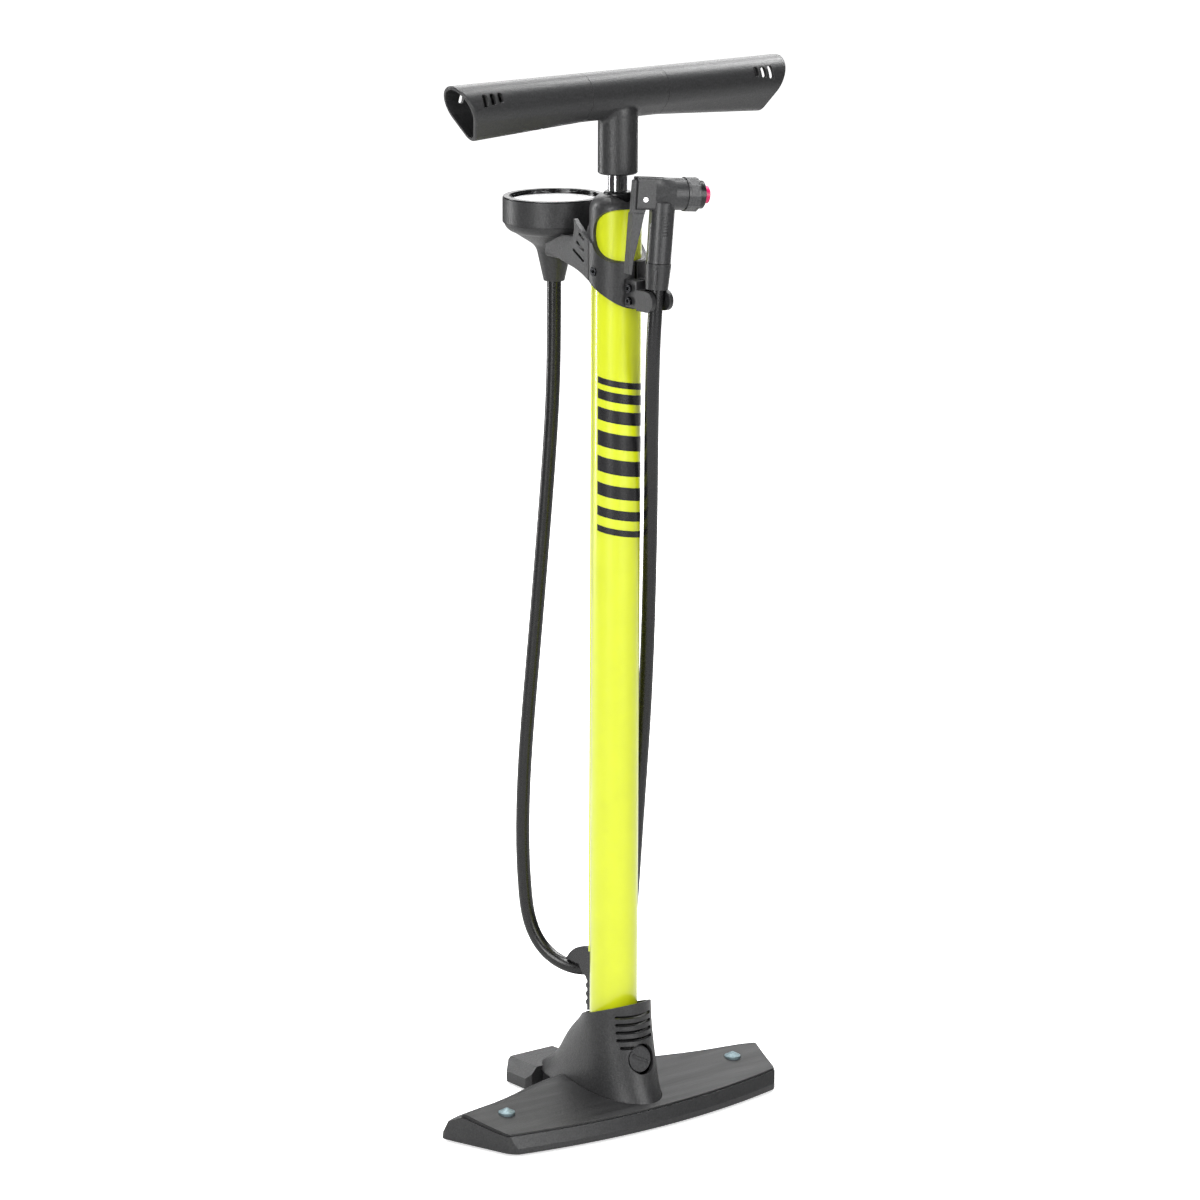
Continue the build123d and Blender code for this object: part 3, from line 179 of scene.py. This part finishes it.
# ---------------------------------------------------------------- materials
class Finish:
    """One procedural material: a Principled shader and the few nodes that vary it."""

    def __init__(self, name, colour, roughness, metallic=0.0):
        self.material = bpy.data.materials.new(name)
        self.material.use_nodes = True
        self.tree = self.material.node_tree
        self.shader = self.tree.nodes["Principled BSDF"]
        self.colour = colour
        self.set("Base Color", (*colour, 1))
        self.set("Roughness", roughness)
        self.set("Metallic", metallic)
        self.place = self.node("ShaderNodeTexCoord").outputs["Object"]

    def node(self, kind, **inputs):
        made = self.tree.nodes.new(kind)
        for key, value in inputs.items():
            made.inputs[key].default_value = value
        return made

    def link(self, source, target):
        self.tree.links.new(source, target)

    def set(self, socket, value):
        self.shader.inputs[socket].default_value = value

    def noise(self, scale, detail, stretch=(1, 1, 1)):
        """Noise over the object; scale is in cells per metre."""
        mapping = self.node("ShaderNodeMapping")
        mapping.inputs["Scale"].default_value = stretch
        self.link(self.place, mapping.inputs["Vector"])
        texture = self.node("ShaderNodeTexNoise", Scale=scale, Detail=detail, Roughness=0.55)
        self.link(mapping.outputs["Vector"], texture.inputs["Vector"])
        return texture.outputs["Fac"]

    def spread(self, value, low, high):
        """Maps the middle of a 0 to 1 signal onto low to high."""
        return map_range(self.tree, value, (0.3, 0.7), (low, high))

    def vary_colour(self, value, amount):
        """Darkens and lightens the base colour by the signal."""
        mix = self.node("ShaderNodeMix")
        mix.data_type = "RGBA"
        factor, dark, light = (mix.inputs[i] for i in (0, 6, 7))      # the sockets of the colour mix
        dark.default_value = (*[c * (1 - amount) for c in self.colour], 1)
        light.default_value = (*[min(c * (1 + amount), 1) for c in self.colour], 1)
        self.link(self.spread(value, 0, 1), factor)
        self.link(mix.outputs[2], self.shader.inputs["Base Color"])

    def vary_roughness(self, value, low, high):
        self.link(self.spread(value, low, high), self.shader.inputs["Roughness"])

    def bump(self, value, depth, strength, edge=0.0):
        """Bump from a signal, depth in metres; edge rounds the sharp edges by that radius."""
        bump = self.node("ShaderNodeBump", Strength=strength, Distance=depth)
        self.link(value, bump.inputs["Height"])
        if edge:
            bevel = self.node("ShaderNodeBevel", Radius=edge)
            bevel.samples = 4
            self.link(bevel.outputs["Normal"], bump.inputs["Normal"])
        self.link(bump.outputs["Normal"], self.shader.inputs["Normal"])


def moulded(name, colour, roughness, grain=1000, depth=0.0002, edge=0.0004):
    """Moulded plastic with a fine spark-eroded grain."""
    finish = Finish(name, colour, roughness)
    grain_signal = finish.noise(grain, 3)
    finish.vary_colour(finish.noise(950, 5), 0.4)
    finish.vary_roughness(grain_signal, roughness - 0.07, roughness + 0.1)
    finish.bump(grain_signal, depth, 0.7, edge)
    return finish.material


def tread(name, colour):
    """Coarse anti-slip texture with faint streaks along the wings."""
    finish = Finish(name, colour, 0.42)
    grain_signal = finish.noise(1300, 3)
    streaks = finish.noise(150, 3, (0.07, 1, 1))
    finish.vary_colour(streaks, 0.3)
    finish.vary_roughness(streaks, 0.42, 0.62)
    finish.set("Specular IOR Level", 0.35)
    finish.bump(grain_signal, 0.00012, 0.8, 0.0004)
    return finish.material


def rubber(name, colour, roughness):
    """Smooth rubber, or a dull inner plastic."""
    finish = Finish(name, colour, roughness)
    signal = finish.noise(1800, 2)
    finish.vary_colour(finish.noise(90, 3), 0.18)
    finish.vary_roughness(signal, roughness - 0.08, roughness + 0.08)
    finish.bump(signal, 0.00003, 0.5)
    return finish.material


def metal(name, colour, roughness, stretch=(1, 1, 1), grain=900, depth=0.000008, edge=0.0002):
    """Turned or plated metal; stretch draws its marks out along an axis."""
    finish = Finish(name, colour, roughness, metallic=1.0)
    signal = finish.noise(grain, 3, stretch)
    finish.vary_colour(finish.noise(60, 3), 0.05)
    finish.vary_roughness(signal, roughness * 0.75, roughness * 1.35)
    finish.bump(signal, depth, 0.4, edge)
    return finish.material


def paint(name, colour):
    """Glossy paint under a clear coat, with a trace of orange peel."""
    finish = Finish(name, colour, 0.32)
    finish.vary_colour(finish.noise(35, 3), 0.035)
    finish.vary_roughness(finish.noise(1200, 2), 0.28, 0.36)
    finish.bump(finish.noise(420, 1), 0.000012, 0.35)
    finish.set("Coat Weight", 1.0)
    finish.set("Coat Roughness", 0.04)
    return finish.material


def lens(name):
    """Clear plastic."""
    finish = Finish(name, (0.97, 0.98, 0.99), 0.02)
    finish.set("Transmission Weight", 1.0)
    finish.set("IOR", 1.45)
    finish.vary_roughness(finish.noise(300, 2), 0.015, 0.035)
    return finish.material


def make_materials():
    """The finish of every slot in the record, and two more for the clamp's screws and the studs."""
    dark = (0.021, 0.0212, 0.022)
    return {
        "base_plastic": moulded("base_plastic", dark, 0.40),
        "tread_plastic": tread("tread_plastic", (0.014, 0.0141, 0.0146)),
        "steel": metal("steel", (0.62, 0.70, 0.74), 0.28),
        "pad_rubber": rubber("pad_rubber", (0.015, 0.015, 0.015), 0.7),
        "inner_plastic": rubber("inner_plastic", (0.006, 0.006, 0.0065), 0.85),
        # painted light: this plastic is lighter than the other dark plastics to stand in for the light its
        # shaded recess does not get
        "plug_plastic": moulded("plug_plastic", (0.045, 0.0455, 0.047), 0.33, 1300, 0.00003),
        "seal_rubber": rubber("seal_rubber", (0.012, 0.012, 0.012), 0.5),
        "brass": metal("brass", (0.72, 0.52, 0.24), 0.25),
        "lime_paint": paint("lime_paint", (0.60, 0.67, 0.006)),
        "black_plastic": moulded("black_plastic", (0.008, 0.008, 0.009), 0.28, 2000, 0.00003),
        "grey_plastic": moulded("grey_plastic", dark, 0.38),
        "clip_plastic": moulded("clip_plastic", (0.020, 0.0202, 0.021), 0.40),
        "bezel_plastic": moulded("bezel_plastic", (0.010, 0.0101, 0.0105), 0.18, 2600, 0.00001, 0.0003),
        "clear_lens": lens("clear_lens"),
        "dial_face": moulded("dial_face", (0.92, 0.92, 0.92), 0.5, 1200, 0.00001, 0),
        "needle_paint": moulded("needle_paint", (0.35, 0.02, 0.02), 0.3, 1200, 0.00001, 0),
        "head_plastic": moulded("head_plastic", (0.028, 0.0284, 0.0295), 0.34, 1300, 0.00005),
        "pin_steel": metal("pin_steel", (0.95, 0.95, 0.95), 0.25),
        "pink_rubber": rubber("pink_rubber", (0.72, 0.012, 0.13), 0.3),
        "ring_plastic": moulded("ring_plastic", (0.048, 0.0485, 0.050), 0.3, 1300, 0.00002),
        "chrome_rod": metal("chrome_rod", (0.55, 0.55, 0.56), 0.08, (1, 1, 0.05), 1500, 0.000004, 0),
        "handle_plastic": moulded("handle_plastic", dark, 0.36),
        "hose_rubber": rubber("hose_rubber", (0.008, 0.008, 0.0085), 0.27),
        "screw_steel": metal("screw_steel", (0.045, 0.046, 0.05), 0.22),
        "stud_steel": metal("stud_steel", (0.21, 0.27, 0.29), 0.62, edge=0.0008),
    }


def dress_nodes(materials):
    """Gives every CAD node the finish of its slot, apart from the clamp's screws and the studs."""
    special = {"band_screws": "screw_steel", "ear_screws": "screw_steel", "tread_studs": "stud_steel"}
    for part in frame["record"]["subparts"]:
        node = frame["nodes"][part["node"]]
        node.data.materials.clear()
        node.data.materials.append(materials[special.get(part["node"], part["material_slot"])])


# ---------------------------------------------------------------- small surface detail
def add_detail(name, shape, materials, slot, body="stand"):
    """Turns a bmesh into a piece with a slot's finish that rides on a body."""
    bmesh.ops.recalc_face_normals(shape, faces=shape.faces)
    mesh = bpy.data.meshes.new(name)
    shape.to_mesh(mesh)
    shape.free()
    mesh.materials.append(materials[slot])
    piece = bpy.data.objects.new(name, mesh)
    bpy.context.scene.collection.objects.link(piece)
    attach(piece, body)


def add_strip(shape, rings, looped=False):
    """Skins a row of four-cornered sections; the ends are capped, or joined when looped."""
    rows = [[shape.verts.new(corner) for corner in ring] for ring in rings]
    following = rows[1:] + rows[:1] if looped else rows[1:]
    for one, two in zip(rows, following):
        for i in range(4):
            j = (i + 1) % 4
            shape.faces.new((one[i], one[j], two[j], two[i]))
    if not looped:
        shape.faces.new(rows[0])
        shape.faces.new(rows[-1])


def make_barrel_bars(materials):
    """Slanted bars wrapped round the front of the barrel: a plain generic marking."""
    inner, outer = 14.95 * MM, 15.07 * MM          # the barrel's own radius is 15
    datum, slant = -40, 0.045                      # degrees round from the front, mm of drop per degree
    # Height of the lower edge at the datum, and thickness.
    bars = [(376, 4), (386, 6), (399, 8), (414, 9.5), (430, 9.5), (446, 8), (459, 6), (468.5, 4)]
    shape = bmesh.new()
    for low, thick in bars:
        rings = []
        for angle in range(-88, 69, 4):
            z = (low - slant * (angle - datum)) * MM
            face = (sin(radians(angle)), -cos(radians(angle)))
            rings.append([
                (face[0] * r, face[1] * r, z + h * MM)
                for r, h in ((inner, 0), (outer, 0), (outer, thick), (inner, thick))
            ])
        add_strip(shape, rings)
    add_detail("barrel_bars", shape, materials, "black_plastic")


def add_tick(shape, dial, turn, start, half):
    """One tick of the scale, sunk a little into the dial."""
    low, high, end = -6.02, -5.92, 26.2            # the dial's face is at -6, its edge beyond 28
    along = Vector((cos(turn), sin(turn), 0))
    across = Vector((-sin(turn), cos(turn), 0)) * half
    corners = ((-1, low), (1, low), (1, high), (-1, high))
    rings = [
        [dial @ ((along * r + across * side + Vector((0, 0, z))) * MM) for side, z in corners]
        for r in (start, end)
    ]
    add_strip(shape, rings)


def add_number(shape, dial, turn, number):
    """One upright number of the scale, as a thin solid."""
    text = bpy.data.curves.new("dial_number", "FONT")
    text.body = str(number)
    text.size = 4.2 * MM
    text.extrude = 0.04 * MM
    text.align_x = "CENTER"
    text.align_y = "CENTER"
    holder = bpy.data.objects.new("dial_number", text)
    bpy.context.scene.collection.objects.link(holder)
    solid = bpy.data.meshes.new_from_object(holder)
    reach, height = 18, -5.96
    spot = Vector((cos(turn) * reach, sin(turn) * reach, height)) * MM
    solid.transform(dial @ Matrix.Translation(spot))
    shape.from_mesh(solid)
    bpy.data.objects.remove(holder)
    bpy.data.curves.remove(text)
    bpy.data.meshes.remove(solid)


def make_dial_marks(materials):
    """The gauge's scale, clockwise from the needle's rest: 60 steps, numbered 0 to 12."""
    first, sweep, steps = 225, 270, 60             # degrees, degrees, ticks
    dial = Matrix.Translation(GAUGE) @ Matrix.Rotation(radians(GAUGE_TILT), 4, "X")
    shape = bmesh.new()
    for step in range(steps + 1):
        numbered = step % 10 == 0
        start = 21.5 if numbered else 23.6 if step % 5 == 0 else 24.6
        turn = radians(first - sweep * step / steps)
        add_tick(shape, dial, turn, start, 0.35 if numbered else 0.14)
    for step in range(7):
        add_number(shape, dial, radians(first - sweep * step / 6), 2 * step)
    add_detail("dial_marks", shape, materials, "black_plastic")


def make_case_seam(materials):
    """The dark parting line between the gauge's case and its bowl."""
    section = ((30.9, 560.1), (31.9, 560.3), (31.9, 560.7), (30.9, 560.9))
    rings = [
        [(sin(radians(a)) * r * MM, GAUGE[1] + cos(radians(a)) * r * MM, z * MM) for r, z in section]
        for a in range(0, 360, 4)
    ]
    shape = bmesh.new()
    add_strip(shape, rings, looped=True)
    add_detail("case_seam", shape, materials, "seal_rubber")


def head_frame():
    """The parked head's own axes: u along the nozzle, v out of its front cheek, w up the shaft."""
    lean, turned = radians(HEAD_LEAN), radians(HEAD_TURN)
    u = Vector((cos(turned) * cos(lean), sin(turned), -cos(turned) * sin(lean)))
    w = Vector((sin(lean), 0, cos(lean)))
    v = u.cross(w)
    return Matrix.Translation(HEAD) @ Matrix((u, v, w)).transposed().to_4x4()


def make_head_ribs(materials):
    """A column of short grip ribs down the front of the head's shaft."""
    head = head_frame()
    shape = bmesh.new()
    lowest, pitch = 32.6, 1.9                      # mm up the shaft
    for step in range(8):
        w = lowest + pitch * step
        rings = []
        for angle in range(-14, 15, 4):
            face = (sin(radians(angle)), cos(radians(angle)))
            proud = 0.34 * cos(radians(angle * 5.0))       # falls off towards the ends
            rings.append([
                head @ (Vector((face[0] * r, face[1] * r, w + h)) * MM)
                for r, h in ((7.3, 0), (7.7 + proud, 0.2), (7.7 + proud, 0.9), (7.3, 1.1))
            ])
        add_strip(shape, rings)
    add_detail("head_ribs", shape, materials, "head_plastic")


# ---------------------------------------------------------------- hose
def make_hose(materials):
    """The hose on its given route, from the gauge's funnel to the head's collar."""
    lean = radians(HEAD_LEAN)
    stop = 8.0                       # the hose ends this far inside the collar
    route = [
        (0, 63, 530), (0.2, 63.0, 490), (-0.6, 63.4, 448), (-2.9, 65.0, 402), (-5.8, 67.3, 352),
        (-8.8, 69.8, 302), (-11.8, 72.2, 256), (-14.1, 74.2, 214), (-15.0, 75.2, 176), (-14.4, 74.9, 141),
        (-11.8, 73.0, 107.5), (-5.7, 61.0, 88.0), (4.2, 41.6, 80.9), (14.1, 22.2, 88.0), (20.1, 10.4, 107),
        (21.0, 8.2, 136), (21.7, 5.8, 172), (22.2, 2.4, 214), (23.0, -0.8, 258), (22.8, -3.7, 304),
        (20.8, -7.6, 350), (17.2, -12.9, 394), (11.2, -20.4, 433), (4.2, -29.6, 468), (-1.8, -38.0, 504),
        (HEAD[0] / MM + stop * sin(lean), HEAD[1] / MM, HEAD[2] / MM + stop * cos(lean)),
    ]
    curve = bpy.data.curves.new("hose_tube", "CURVE")
    curve.dimensions = "3D"
    curve.resolution_u = 16
    curve.bevel_depth = 4.4 * MM
    curve.bevel_resolution = 8
    curve.use_fill_caps = True
    spline = curve.splines.new("NURBS")
    spline.points.add(len(route) - 1)
    for point, place in zip(spline.points, route):
        point.co = (*[c * MM for c in place], 1)
    spline.order_u = 3
    spline.use_endpoint_u = True
    hose = bpy.data.objects.new("hose_tube", curve)
    bpy.context.scene.collection.objects.link(hose)
    curve.materials.append(materials["hose_rubber"])
    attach(hose, "stand")
    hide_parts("hose")


make_camera()
make_stage()
make_world()
make_lights()
materials = make_materials()
dress_nodes(materials)
make_barrel_bars(materials)
make_dial_marks(materials)
make_case_seam(materials)
make_head_ribs(materials)
make_hose(materials)
